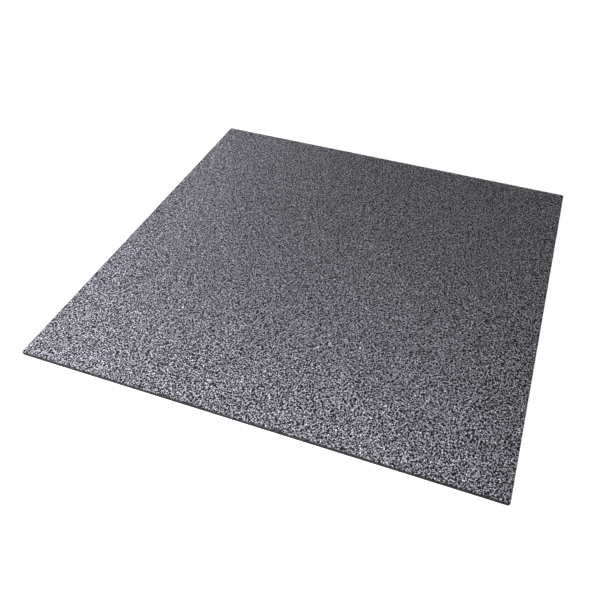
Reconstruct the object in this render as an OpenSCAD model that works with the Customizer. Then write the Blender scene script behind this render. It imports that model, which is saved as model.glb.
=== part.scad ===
// Square floor mat, cut from a flat sheet of rubber granules bonded with binder.
// It lies flat. The origin is the centre of the underside, and the cut edges run along X and Y.

/* [Sheet] */
// Width of the mat along X, cut edge to cut edge
mat_w = 600; // [300:10:1200]
// Depth of the mat along Y, cut edge to cut edge
mat_d = 600; // [300:10:1200]
// Thickness of the bonded sheet
mat_t = 5; // [3:0.5:20]

/* [Cut edge] */
// Radius of the plan corners, where the blunt corner granules have broken away
corner_r = 3; // [1.5:0.5:60]
// Rounding of the upper rim, worn by use and by the cutting blade
top_rim_r = 0.8; // [0.2:0.1:1.2]
// Rounding of the lower rim, which stays crisper against the floor
bottom_rim_r = 0.4; // [0.2:0.1:1.2]

/* [Hidden] */
$fn = 48;
// Stretch of each cut edge that is straight, between the plan corners
straight_w = mat_w - 2 * corner_r;
straight_d = mat_d - 2 * corner_r;

// Half of the sheet's section, from its middle out to a cut edge with both rims rounded
module half_section(reach) {
    translate([0, bottom_rim_r]) square([reach, mat_t - top_rim_r - bottom_rim_r]);
    square([reach - bottom_rim_r, mat_t / 2]);
    translate([0, mat_t / 2]) square([reach - top_rim_r, mat_t / 2]);
    translate([reach - bottom_rim_r, bottom_rim_r]) circle(r = bottom_rim_r);
    translate([reach - top_rim_r, mat_t - top_rim_r]) circle(r = top_rim_r);
}

// Sheet as wide as span, with a cut edge along each long side, run for length along X
module sheet_run(length, span) {
    rotate([90, 0, 90]) linear_extrude(height = length, center = true) {
        half_section(span / 2);
        mirror([1, 0]) half_section(span / 2);
    }
}

// Plan corner: the same cut edge turned about the corner's centre
module plan_corner() {
    rotate_extrude() half_section(corner_r);
}

module mat() {
    color([0.36, 0.36, 0.38]) union() {
        sheet_run(straight_w, mat_d);
        rotate([0, 0, 90]) sheet_run(straight_d, mat_w);
        for (side_x = [-1, 1], side_y = [-1, 1])
            translate([side_x * straight_w / 2, side_y * straight_d / 2, 0]) plan_corner();
    }
}

mat();
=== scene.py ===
"""Looks of a square mat of bonded rubber granules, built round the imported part.

The sheet is a dark bed of binder with a mosaic of granules on it. The mosaic is laid out flat, then folded
over the upper rim and down the cut edges, so that granules wrap the rim as they do on a sheet cut from a
pressed block.
"""
import math
from collections import namedtuple

import bmesh
import bpy
import numpy as np
from mathutils import Matrix, Vector

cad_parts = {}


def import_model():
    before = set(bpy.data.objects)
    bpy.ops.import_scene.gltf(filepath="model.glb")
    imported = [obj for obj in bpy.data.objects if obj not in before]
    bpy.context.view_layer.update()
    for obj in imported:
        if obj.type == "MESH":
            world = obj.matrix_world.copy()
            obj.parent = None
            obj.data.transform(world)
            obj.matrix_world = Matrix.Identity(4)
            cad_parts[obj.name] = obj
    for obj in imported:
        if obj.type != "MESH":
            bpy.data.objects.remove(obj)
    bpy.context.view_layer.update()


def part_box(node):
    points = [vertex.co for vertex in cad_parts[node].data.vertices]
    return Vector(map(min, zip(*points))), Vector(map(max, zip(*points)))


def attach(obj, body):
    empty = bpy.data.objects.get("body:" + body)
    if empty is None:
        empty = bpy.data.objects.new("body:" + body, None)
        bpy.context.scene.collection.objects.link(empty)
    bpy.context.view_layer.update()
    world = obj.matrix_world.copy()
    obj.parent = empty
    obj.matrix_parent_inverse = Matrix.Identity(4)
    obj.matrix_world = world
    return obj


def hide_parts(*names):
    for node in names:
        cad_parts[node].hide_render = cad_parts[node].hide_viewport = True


BODY = "root"
NODE = "mat"

# The sheet's surface, in metres: radii of the upper rim and the corners, depth of the relief, how far the
# bed lies under the skin, the bed's bevel, the gap between granules and floor, and the height over which
# their relief fades towards that gap
RIM_R = 0.0008
CORNER_R = 0.003
RELIEF = 0.0007
BED_DROP = 0.00068
BED_BEVEL = 0.001
FLOOR_GAP = 0.0001
FOOT_TUCK = 0.0007

# Flats that round each corner of the bed
CORNER_STEPS = 6

# Mosaic of granules: the grid's cell in metres, how far its points stray in cells, the share of cells that
# are halved, the least area that is kept as a share of a whole cell, the size of a chip in its cell, and
# how far its corners and its peak stray in cells
GRANULE = 0.00155
STRAY = 0.42
HALVED = 0.5
LEAST_AREA = 0.1
CHIP_SIZE = (0.88, 1.0)
CORNER_STRAY = 0.06
LEAN = 0.2

# A cell whose normal rises less than this was turned over when its points strayed
UPRIGHT = 0.5

# The share of its size that a chip's top keeps, which makes it all but a point, and the distance in metres
# within which points are merged
PEAK_SIZE = 0.001
WELD = 4e-6

# Pits between the granules: their spacing in metres, how regular they are, the angle in radians between
# their pattern and the grid, and the share of a cell's level that is left to chance
PIT_SPACING = 0.0028
PIT_ORDER = 0.15
PIT_TURN = 0.5
CHANCE = 0.1

# Random draws: each adds its place in this row to the seed
SEED = 7
DRAWS = ("stray x", "stray y", "halving", "level", "tone", "chip size", "peak height", "peak x", "peak y",
         "corner x", "corner y", "corner z")

# Kinds of granule: the level that each starts from, its grey, the spread of tone inside it, its lowest and
# highest peak as shares of the relief, and its specular level. Levels below the first are pits that show
# the binder.
Kind = namedtuple("Kind", "start grey tones low_peak high_peak specular")
KINDS = {
    "granules_deep": Kind(0.22, 0.008, 0.5, 0.15, 0.45, 0.2),
    "granules_black": Kind(0.3, 0.012, 0.5, 0.4, 0.95, 0.25),
    "granules_charcoal": Kind(0.335, 0.02, 0.35, 0.6, 1.0, 0.3),
    "granules_slate": Kind(0.37, 0.305, 0.25, 0.6, 1.0, 0.35),
    "granules_grey": Kind(0.435, 0.362, 0.25, 0.65, 1.0, 0.35),
    "granules_ash": Kind(0.505, 0.395, 0.25, 0.65, 1.0, 0.35),
    "granules_pale": Kind(0.6, 0.475, 0.3, 0.65, 1.0, 0.35),
}

# The palest kind goes up to this level, which is above all that occur
LAST_LEVEL = 9.0

# The binder's grey and specular level, the tint of all the rubber, and the painted shade on the cut edge,
# which darkens it as shade would, with where it sets in and where it is full, in metres outwards from the
# start of the rim
BINDER, BINDER_SPECULAR = 0.03, 0.1
TINT = (1.0, 0.98, 1.045)
CUT_PAINTED_SHADE = (0.08, 0.07, 0.055)
CUT_FROM, CUT_FULL = -0.0008, 0.0003

# Fine crumbs in every granule: their size in metres and their factors on the tone. Each crumb draws a
# number from 0 to 1. Below the one limit or above the other, its factor changes by the amount beside it.
CRUMB = 0.001
CRUMB_TONES = (0.7, 1.3)
DARK_BELOW, DARK_CHANGE = 0.25, -0.9
PALE_ABOVE, PALE_CHANGE = 0.975, 1.2

# Grit and clouds: repeats in a metre, depth of detail and factors on the tone, and the span that both
# noises fill. The height in the relief has factors too, which are painted shade: dark at the foot of each
# granule down in the crevices and lighter at its peak. The grit also gives the roughness, and together
# with the crumbs the bump, whose height is in metres.
GRIT_SCALE, GRIT_DETAIL, GRIT_TONES = 1400.0, 2.0, (0.55, 1.45)
CLOUD_SCALE, CLOUD_DETAIL, CLOUD_TONES = 14.0, 3.0, (0.95, 1.05)
NOISE_SPAN = (0.3, 0.7)
RELIEF_PAINTED_SHADE = (0.25, 1.35)
ROUGHNESS = (0.35, 0.55)
BUMP_HEIGHT, BUMP_STRENGTH = 0.0002, 0.6

# The range of a tone, a height or a random number
WHOLE = (0.0, 1.0)

# Camera, fitted to the mat's four edges in the 600 pixel frame: pixels, degrees and metres
FRAME_PX = 600
FOCAL_PX = 678.6
CENTRE_PX = 325.0
AZIMUTH, ELEVATION, ROLL = 18.42, 42.92, -1.71
DISTANCE = 0.9226
TARGET = Vector((0.0169, -0.073, 0.0))
SENSOR_MM = 36.0
NEAREST, FARTHEST = 0.01, 50

# Strip lamps along the left and the front edge: place, aim, size, watts, colour
LAMPS = {
    "left_strip": ((-0.36, 0.0, 0.18), (-0.25, 0.0, 0.0), (0.15, 0.8), 1.72, (0.96, 0.975, 1.08)),
    "front_strip": ((-0.1, -0.4, 0.2), (-0.1, -0.25, 0.0), (0.8, 0.15), 3.4, (0.96, 0.975, 1.08)),
}
SKY = 0.595

# Floor: half its side in metres and its grey. The camera sees a glow mixed with this share of lit floor.
FLOOR_HALF = 30
FLOOR_GREY = 0.8
FLOOR_GLOW = 1.25
FLOOR_LIT = 0.3

WHITE = (1, 1, 1, 1)


def add(tree, kind, inputs=None, **settings):
    """Adds a node, sets its properties, and sets or links its inputs by name or number."""
    node = tree.nodes.new(kind)
    for name, value in settings.items():
        setattr(node, name, value)
    for name, value in (inputs or {}).items():
        if isinstance(value, bpy.types.NodeSocket):
            tree.links.new(value, node.inputs[name])
        else:
            node.inputs[name].default_value = value
    return node


def sockets(tree, way, kinds):
    """Gives a node tree its named inputs or outputs."""
    for name, kind in kinds.items():
        tree.interface.new_socket(name, in_out=way, socket_type="NodeSocket" + kind)


def maths(tree, operation, *values):
    return add(tree, "ShaderNodeMath", dict(enumerate(values)), operation=operation).outputs[0]


def vector_maths(tree, operation, *values, output=0):
    return add(tree, "ShaderNodeVectorMath", dict(enumerate(values)), operation=operation).outputs[output]


def spread(tree, value, given, wanted):
    """The value with its given range laid over the wanted one."""
    return add(tree, "ShaderNodeMapRange", dict(enumerate((value, *given, *wanted)))).outputs[0]


def compare(tree, operation, a, b):
    return add(tree, "FunctionNodeCompare", {0: a, 1: b}, operation=operation).outputs[0]


def either(tree, a, b):
    return add(tree, "FunctionNodeBooleanMath", {0: a, 1: b}, operation="OR").outputs[0]


def vector(tree, *parts):
    return add(tree, "ShaderNodeCombineXYZ", dict(enumerate(parts))).outputs[0]


def random_number(tree, given, draw, low, high, key=None):
    """A number drawn at random for each element, or for each value of key."""
    seed = maths(tree, "ADD", given["Seed"], float(DRAWS.index(draw)))
    node = add(tree, "FunctionNodeRandomValue", {2: low, 3: high, "Seed": seed}, data_type="FLOAT")
    if key is not None:
        tree.links.new(key, node.inputs["ID"])
    return node.outputs[1]


def both_ways(tree, given, share):
    """Minus and plus a named share of a granule's size."""
    far = maths(tree, "MULTIPLY", given["Granule size"], given[share])
    return maths(tree, "MULTIPLY", far, -1.0), far


def stored(tree, geometry, name, value, domain, kind="FLOAT"):
    node = add(tree, "GeometryNodeStoreNamedAttribute", {
        "Geometry": geometry, "Name": name, "Value": value}, data_type=kind, domain=domain)
    return node.outputs[0]


def cells(tree, given):
    """A grid whose points stray, with some of its cells halved and all of them parted."""
    half = maths(tree, "ADD", given["Core"], maths(tree, "ADD", given["Reach"], given["Granule size"]))
    side = maths(tree, "MULTIPLY", half, 2.0)
    across = maths(tree, "CEIL", maths(tree, "DIVIDE", side, given["Granule size"]))
    grid = add(tree, "GeometryNodeMeshGrid", {
        "Size X": side, "Size Y": side, "Vertices X": across, "Vertices Y": across})
    back, far = both_ways(tree, given, "Stray")
    stray = vector(tree, random_number(tree, given, "stray x", back, far),
                   random_number(tree, given, "stray y", back, far))
    moved = add(tree, "GeometryNodeSetPosition", {"Geometry": grid.outputs[0], "Offset": stray})
    chosen = compare(tree, "LESS_THAN", random_number(tree, given, "halving", 0.0, 1.0), given["Halved"])
    halved = add(tree, "GeometryNodeTriangulate", {"Mesh": moved.outputs[0], "Selection": chosen})
    return add(tree, "GeometryNodeSplitEdges", {"Mesh": halved.outputs[0]}).outputs[0]


def from_core(tree, given):
    """How far an element lies outside the square whose half side is Core, round its corners."""
    place = add(tree, "GeometryNodeInputPosition").outputs[0]
    size = vector_maths(tree, "ABSOLUTE", place)
    core = vector(tree, given["Core"], given["Core"])
    over = vector_maths(tree, "MAXIMUM", vector_maths(tree, "SUBTRACT", size, core), (0.0, 0.0, 0.0))
    return vector_maths(tree, "LENGTH", over, output="Value")


def levels(tree, given, number):
    """How pale a cell is: more with its distance from the nearest pit's middle, and partly by chance."""
    scale = maths(tree, "DIVIDE", 1.0, given["Pit spacing"])
    disorder = maths(tree, "SUBTRACT", 1.0, given["Pit order"])
    place = add(tree, "GeometryNodeInputPosition").outputs[0]
    turned = add(tree, "ShaderNodeVectorRotate", {"Vector": place, "Angle": given["Pit turn"]},
                 rotation_type="Z_AXIS")
    middles = add(tree, "ShaderNodeTexVoronoi", {
        "Vector": turned.outputs[0], "Scale": scale, "Randomness": disorder}, voronoi_dimensions="2D")
    rest = maths(tree, "SUBTRACT", 1.0, given["Chance"])
    ruled = maths(tree, "MULTIPLY", middles.outputs["Distance"], rest)
    chance = maths(tree, "MULTIPLY", random_number(tree, given, "level", 0.0, 1.0, number), given["Chance"])
    return maths(tree, "ADD", ruled, chance)


def cells_of_kind(tree, given, number):
    """The cells whose level is in this kind's range, less slivers and those turned over or past the foot."""
    index = add(tree, "GeometryNodeInputIndex").outputs[0]
    counted = stored(tree, cells(tree, given), "granule", index, "FACE", "INT")
    level = levels(tree, given, number)
    other_kind = either(tree, compare(tree, "LESS_THAN", level, given["Level from"]),
                        compare(tree, "GREATER_EQUAL", level, given["Level to"]))
    normal = add(tree, "GeometryNodeInputNormal").outputs[0]
    upright = add(tree, "ShaderNodeSeparateXYZ", {0: normal}).outputs["Z"]
    area = add(tree, "GeometryNodeInputMeshFaceArea").outputs[0]
    whole = maths(tree, "MULTIPLY", given["Granule size"], given["Granule size"])
    unfit = either(tree, compare(tree, "LESS_THAN", upright, UPRIGHT),
                   compare(tree, "LESS_THAN", area, maths(tree, "MULTIPLY", whole, LEAST_AREA)))
    beyond = compare(tree, "GREATER_THAN", from_core(tree, given), given["Reach"])
    gone = either(tree, other_kind, either(tree, unfit, beyond))
    kept = add(tree, "GeometryNodeDeleteGeometry", {"Geometry": counted, "Selection": gone}, domain="FACE")
    tone = random_number(tree, given, "tone", 0.0, 1.0, number)
    return stored(tree, kept.outputs[0], "tone", tone, "FACE")


def flat_chips(tree, given, number):
    """Each cell of this kind drawn in towards its middle, with its corners astray."""
    size = random_number(tree, given, "chip size", given["Smallest"], given["Largest"], number)
    shrunk = add(tree, "GeometryNodeScaleElements", {
        "Geometry": cells_of_kind(tree, given, number), "Scale": size}, domain="FACE")
    back, far = both_ways(tree, given, "Corner stray")
    shove = vector(tree, random_number(tree, given, "corner x", back, far),
                   random_number(tree, given, "corner y", back, far),
                   random_number(tree, given, "corner z", 0.0, far))
    return add(tree, "GeometryNodeSetPosition", {"Geometry": shrunk.outputs[0], "Offset": shove}).outputs[0]


def peaked_chips(tree, given, flat, number):
    """Closed chips: the underside of each, and flanks that rise from it to a peak off its middle."""
    under = add(tree, "GeometryNodeFlipFaces", {"Mesh": flat}).outputs[0]
    low = maths(tree, "MULTIPLY", given["Relief"], given["Low peak"])
    high = maths(tree, "MULTIPLY", given["Relief"], given["High peak"])
    rise = random_number(tree, given, "peak height", low, high, number)
    raised = add(tree, "GeometryNodeExtrudeMesh", {
        "Mesh": flat, "Offset": vector(tree, 0.0, 0.0, 1.0), "Offset Scale": rise, "Individual": True},
        mode="FACES")
    peak = add(tree, "GeometryNodeScaleElements", {
        "Geometry": raised.outputs[0], "Selection": raised.outputs["Top"], "Scale": PEAK_SIZE},
        domain="FACE")
    back, far = both_ways(tree, given, "Lean")
    lean = vector(tree, random_number(tree, given, "peak x", back, far, number),
                  random_number(tree, given, "peak y", back, far, number))
    leaning = add(tree, "GeometryNodeSetPosition", {
        "Geometry": peak.outputs[0], "Selection": raised.outputs["Top"], "Offset": lean}).outputs[0]
    whole = add(tree, "GeometryNodeJoinGeometry")
    for part in (under, leaning):
        tree.links.new(part, whole.inputs[0])
    joined = add(tree, "GeometryNodeMergeByDistance", {"Geometry": whole.outputs[0], "Distance": WELD})
    return joined.outputs[0]


def mosaic_tree():
    """Granules laid out flat: each cell whose level is in this kind's range becomes a peaked chip."""
    tree = bpy.data.node_groups.new("Granule mosaic", "GeometryNodeTree")
    sockets(tree, "OUTPUT", {"Geometry": "Geometry"})
    sockets(tree, "INPUT", dict.fromkeys((
        "Core", "Reach", "Granule size", "Stray", "Halved", "Relief", "Low peak", "High peak", "Lean",
        "Smallest", "Largest", "Corner stray", "Pit spacing", "Pit order", "Pit turn", "Chance",
        "Level from", "Level to",
    ), "Float"))
    sockets(tree, "INPUT", {"Seed": "Int", "Material": "Material"})
    given = tree.nodes.new("NodeGroupInput").outputs

    number = add(tree, "GeometryNodeInputNamedAttribute", {"Name": "granule"}, data_type="INT").outputs[0]
    closed = peaked_chips(tree, given, flat_chips(tree, given, number), number)
    rounded = add(tree, "GeometryNodeSetShadeSmooth", {"Geometry": closed, "Shade Smooth": True})
    real = add(tree, "GeometryNodeRealizeInstances", {"Geometry": rounded.outputs[0]})
    faced = add(tree, "GeometryNodeSetMaterial", {
        "Geometry": real.outputs[0], "Material": given["Material"]})
    out = tree.nodes.new("NodeGroupOutput")
    tree.links.new(faced.outputs[0], out.inputs[0])
    return tree


def placed(name, data):
    """A new object in the scene."""
    piece = bpy.data.objects.new(name, data)
    bpy.context.collection.objects.link(piece)
    return piece


def plain_mesh(name, tree, values):
    """Runs a node tree on an empty mesh object and gives an object with the result as a plain mesh."""
    seat = placed("seat", bpy.data.meshes.new("seat"))
    modifier = seat.modifiers.new("tree", "NODES")
    modifier.node_group = tree
    for item in tree.interface.items_tree:
        if item.in_out == "INPUT":
            modifier[item.identifier] = values[item.name]
    ready = seat.evaluated_get(bpy.context.evaluated_depsgraph_get())
    mesh = bpy.data.meshes.new_from_object(ready)
    bpy.data.objects.remove(seat)
    return placed(name, mesh)


def per_point(mesh, name, values):
    layer = mesh.attributes.new(name, "FLOAT", "POINT")
    layer.data.foreach_set("value", np.ascontiguousarray(values, np.float32))


def points_of(mesh):
    at = np.empty(len(mesh.vertices) * 3, np.float32)
    mesh.vertices.foreach_get("co", at)
    return at.reshape(-1, 3).astype(float)


def fold(mesh, half, top, foot):
    """Moves a flat layout's vertices onto the sheet, over the rim and down the cut edge as far as its foot.

    Each vertex keeps its height in the relief, and how far it is on the cut edge, as attributes, from which
    the shader paints shade.
    """
    at = points_of(mesh)
    plan, rise = at[:, :2], at[:, 2].clip(0, RELIEF)
    core = half - CORNER_R
    rim_start = CORNER_R - RIM_R
    near = plan.clip(-core, core)
    out = plan - near
    reach = np.hypot(*out.T)
    away = out / np.where(reach > 0, reach, 1)[:, None]
    past = (reach - rim_start).clip(0, foot)
    rise = rise * ((foot - past) / FOOT_TUCK).clip(0, 1) - RELIEF
    angle = (past / RIM_R).clip(0, math.pi / 2)
    down = (past - RIM_R * math.pi / 2).clip(0, None)
    side = np.minimum(reach, rim_start) + (RIM_R + rise) * np.sin(angle)
    flat = past <= 0
    z = top - RIM_R - down + (RIM_R + rise) * np.cos(angle)
    moved = np.concatenate([near + away * side[:, None], z[:, None]], 1)
    moved[flat] = np.c_[plan[flat], top + rise[flat]]
    mesh.vertices.foreach_set("co", moved.astype(np.float32).ravel())
    per_point(mesh, "height", 1 + rise / RELIEF)
    per_point(mesh, "cut", ((reach - rim_start - CUT_FROM) / (CUT_FULL - CUT_FROM)).clip(0, 1))
    mesh.update()


def crumb_tones(tree, colour):
    """Factor on the tone that each crumb gets from its random colour: some much darker and a few paler."""
    drawn = add(tree, "ShaderNodeSeparateColor", {0: colour}).outputs
    dark = maths(tree, "MULTIPLY", maths(tree, "LESS_THAN", drawn[0], DARK_BELOW), DARK_CHANGE)
    pale = maths(tree, "MULTIPLY", maths(tree, "GREATER_THAN", drawn[0], PALE_ABOVE), PALE_CHANGE)
    usual = spread(tree, drawn[1], WHOLE, CRUMB_TONES)
    return maths(tree, "ADD", usual, maths(tree, "ADD", dark, pale))


def granule_look():
    """Shader group of all the rubber: tone, grit, crumbs, painted shade in the crevices, clouds and painted
    shade on the cut edge.
    """
    tree = bpy.data.node_groups.new("Granule look", "ShaderNodeTree")
    sockets(tree, "INPUT", {
        "Colour": "Color", "Spread": "Float", "Tone": "Float", "Height": "Float", "Cut": "Float"})
    sockets(tree, "OUTPUT", {"Colour": "Color", "Roughness": "Float", "Grit": "Float"})
    given = tree.nodes.new("NodeGroupInput").outputs
    out = tree.nodes.new("NodeGroupOutput").inputs
    place = add(tree, "ShaderNodeTexCoord").outputs["Object"]
    grit = add(tree, "ShaderNodeTexNoise", {
        "Vector": place, "Scale": GRIT_SCALE, "Detail": GRIT_DETAIL}).outputs["Fac"]
    cloud = add(tree, "ShaderNodeTexNoise", {
        "Vector": place, "Scale": CLOUD_SCALE, "Detail": CLOUD_DETAIL}).outputs["Fac"]
    crumbs = add(tree, "ShaderNodeTexVoronoi", {"Vector": place, "Scale": 1 / CRUMB}).outputs

    least = maths(tree, "SUBTRACT", 1.0, given["Spread"])
    most = maths(tree, "ADD", 1.0, given["Spread"])
    level = spread(tree, given["Tone"], WHOLE, (least, most))
    # The height's factor is painted shade: darkest at a granule's foot in the crevices, a little lighter at
    # its peak
    for part in (spread(tree, grit, NOISE_SPAN, GRIT_TONES), crumb_tones(tree, crumbs["Color"]),
                 spread(tree, given["Height"], WHOLE, RELIEF_PAINTED_SHADE),
                 spread(tree, cloud, NOISE_SPAN, CLOUD_TONES)):
        level = maths(tree, "MULTIPLY", level, part)
    shade = add(tree, "ShaderNodeVectorMath", {
        0: given["Colour"], "Scale": level}, operation="SCALE").outputs[0]
    # Painted shade: the cut edge darkened from the rim downwards
    cut = add(tree, "ShaderNodeMix", {"A": WHITE, "B": (*CUT_PAINTED_SHADE, 1), 0: given["Cut"]}, data_type="RGBA")
    tree.links.new(vector_maths(tree, "MULTIPLY", shade, cut.outputs["Result"]), out["Colour"])
    tree.links.new(spread(tree, grit, NOISE_SPAN, ROUGHNESS), out["Roughness"])
    tree.links.new(maths(tree, "SUBTRACT", grit, crumbs["Distance"]), out["Grit"])
    return tree


def rubber(name, grey, tones, specular, look):
    """Rubber of one grey, with the shared look's tones, roughness and grit."""
    material = bpy.data.materials.new(name)
    material.use_nodes = True
    tree = material.node_tree
    shader = tree.nodes["Principled BSDF"]
    made = add(tree, "ShaderNodeGroup", node_tree=look)
    made.inputs["Colour"].default_value = (*(grey * part for part in TINT), 1)
    made.inputs["Spread"].default_value = tones
    for label in ("Tone", "Height", "Cut"):
        kept = add(tree, "ShaderNodeAttribute", attribute_name=label.lower())
        tree.links.new(kept.outputs["Fac"], made.inputs[label])
    bump = add(tree, "ShaderNodeBump", {
        "Height": made.outputs["Grit"], "Distance": BUMP_HEIGHT, "Strength": BUMP_STRENGTH})
    tree.links.new(made.outputs["Colour"], shader.inputs["Base Color"])
    tree.links.new(made.outputs["Roughness"], shader.inputs["Roughness"])
    tree.links.new(bump.outputs[0], shader.inputs["Normal"])
    shader.inputs["Specular IOR Level"].default_value = specular
    return material


def granules(half, top, look):
    """The mosaic as one piece for each kind of granule, folded onto the sheet."""
    tree = mosaic_tree()
    foot = top - RIM_R - FLOOR_GAP + RIM_R * math.pi / 2
    shared = {
        "Core": half - CORNER_R, "Reach": CORNER_R - RIM_R + foot, "Granule size": GRANULE,
        "Stray": STRAY, "Halved": HALVED, "Relief": RELIEF, "Lean": LEAN,
        "Smallest": CHIP_SIZE[0], "Largest": CHIP_SIZE[1], "Corner stray": CORNER_STRAY,
        "Pit spacing": PIT_SPACING, "Pit order": PIT_ORDER, "Pit turn": PIT_TURN, "Chance": CHANCE,
        "Seed": SEED,
    }
    made = []
    ends = [kind.start for kind in KINDS.values()][1:] + [LAST_LEVEL]
    for (name, kind), end in zip(KINDS.items(), ends):
        piece = plain_mesh(name, tree, shared | {
            "Low peak": kind.low_peak, "High peak": kind.high_peak,
            "Level from": kind.start, "Level to": end,
            "Material": rubber(name, kind.grey, kind.tones, kind.specular, look)})
        fold(piece.data, half, top, foot)
        made.append(piece)
    return made


def bed_ring(built, half, inset, z):
    """The bed's outline at one height, drawn in by inset, with each corner rounded in steps."""
    corner = CORNER_R - BED_DROP
    ring = []
    for quarter, side in enumerate(((1, 1), (-1, 1), (-1, -1), (1, -1))):
        centre = Vector(side) * (half - corner)
        for step in range(CORNER_STEPS + 1):
            angle = math.pi / 2 * (quarter + step / CORNER_STEPS)
            out = Vector((math.cos(angle), math.sin(angle))) * (corner - inset)
            ring.append(built.verts.new((centre.x + out.x, centre.y + out.y, z)))
    return ring


def bed(low, high, look):
    """The binder under the granules: a closed slab with a bevelled rim, inset from the sheet's skin."""
    half = high.x - BED_DROP
    top = high.z - BED_DROP
    built = bmesh.new()
    rings = [bed_ring(built, half, inset, z)
             for inset, z in ((0, low.z), (0, top - BED_BEVEL), (BED_BEVEL, top))]
    for lower, upper in zip(rings, rings[1:]):
        for i in range(len(lower)):
            j = (i + 1) % len(lower)
            built.faces.new((lower[i], lower[j], upper[j], upper[i]))
    built.faces.new(list(reversed(rings[0])))
    built.faces.new(rings[-1])
    mesh = bpy.data.meshes.new("binder_bed")
    built.to_mesh(mesh)
    built.free()
    mesh.materials.append(rubber("binder", BINDER, 0.0, BINDER_SPECULAR, look))
    return placed("binder_bed", mesh)


def aimed(name, data, place, right, up, back):
    """A new camera or lamp at its place, which looks away from back."""
    seen = placed(name, data)
    seen.matrix_world = Matrix.Translation(place) @ Matrix((right, up, back)).transposed().to_4x4()
    return seen


def camera():
    data = bpy.data.cameras.new("camera")
    data.sensor_width = SENSOR_MM
    data.lens = SENSOR_MM * FOCAL_PX / FRAME_PX
    data.shift_x = (FRAME_PX / 2 - CENTRE_PX) / FRAME_PX
    data.clip_start, data.clip_end = NEAREST, FARTHEST
    a, e, r = (math.radians(x) for x in (AZIMUTH, ELEVATION, ROLL))
    back = Vector((math.sin(a) * math.cos(e), -math.cos(a) * math.cos(e), math.sin(e)))
    right = Vector((math.cos(a), math.sin(a), 0))
    up = back.cross(right)
    right, up = right * math.cos(r) - up * math.sin(r), right * math.sin(r) + up * math.cos(r)
    bpy.context.scene.camera = aimed("camera", data, TARGET + back * DISTANCE, right, up, back)


def lamp(name, place, aim, size, watts, colour):
    """A rectangular lamp that the camera doesn't see, its longer side level."""
    data = bpy.data.lights.new(name, "AREA")
    data.shape, data.energy, data.color = "RECTANGLE", watts, colour
    data.size, data.size_y = size
    back = (Vector(place) - Vector(aim)).normalized()
    level = Vector((1, 0, 0)) if size[0] > size[1] else Vector((0, 1, 0))
    other = back.cross(level)
    right, up = (level, other) if size[0] > size[1] else (-other, level)
    aimed(name, data, place, right, up, back).visible_camera = False


def floor():
    """A pale floor that takes the mat's shadow, and that the camera sees as all but white."""
    s = FLOOR_HALF
    mesh = bpy.data.meshes.new("floor")
    mesh.from_pydata([(-s, -s, 0), (s, -s, 0), (s, s, 0), (-s, s, 0)], [], [(0, 1, 2, 3)])
    ground = placed("floor", mesh)
    material = bpy.data.materials.new("floor")
    material.use_nodes = True
    tree = material.node_tree
    tree.nodes.clear()
    matt = add(tree, "ShaderNodeBsdfDiffuse", {"Color": (FLOOR_GREY, FLOOR_GREY, FLOOR_GREY, 1)}).outputs[0]
    glow = add(tree, "ShaderNodeEmission", {"Color": WHITE, "Strength": FLOOR_GLOW}).outputs[0]
    lit = add(tree, "ShaderNodeMixShader", {0: FLOOR_LIT, 1: glow, 2: matt}).outputs[0]
    path = add(tree, "ShaderNodeLightPath").outputs["Is Camera Ray"]
    mix = add(tree, "ShaderNodeMixShader", {0: path, 1: matt, 2: lit})
    add(tree, "ShaderNodeOutputMaterial", {0: mix.outputs[0]})
    mesh.materials.append(material)


def light():
    """An even sky, white where the camera sees it, and the strip lamps."""
    world = bpy.data.worlds.new("world")
    bpy.context.scene.world = world
    world.use_nodes = True
    tree = world.node_tree
    tree.nodes.clear()
    soft = add(tree, "ShaderNodeBackground", {"Color": WHITE, "Strength": SKY}).outputs[0]
    white = add(tree, "ShaderNodeBackground", {"Color": WHITE, "Strength": 1.0}).outputs[0]
    path = add(tree, "ShaderNodeLightPath").outputs["Is Camera Ray"]
    mix = add(tree, "ShaderNodeMixShader", {0: path, 1: soft, 2: white})
    add(tree, "ShaderNodeOutputWorld", {0: mix.outputs[0]})
    for name, settings in LAMPS.items():
        lamp(name, *settings)


def main():
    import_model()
    low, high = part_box(NODE)
    bpy.context.scene.view_settings.view_transform = "Standard"
    camera()
    floor()
    light()
    look = granule_look()
    for piece in [bed(low, high, look)] + granules((high.x - low.x) / 2, high.z, look):
        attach(piece, BODY)
        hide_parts(NODE)


main()
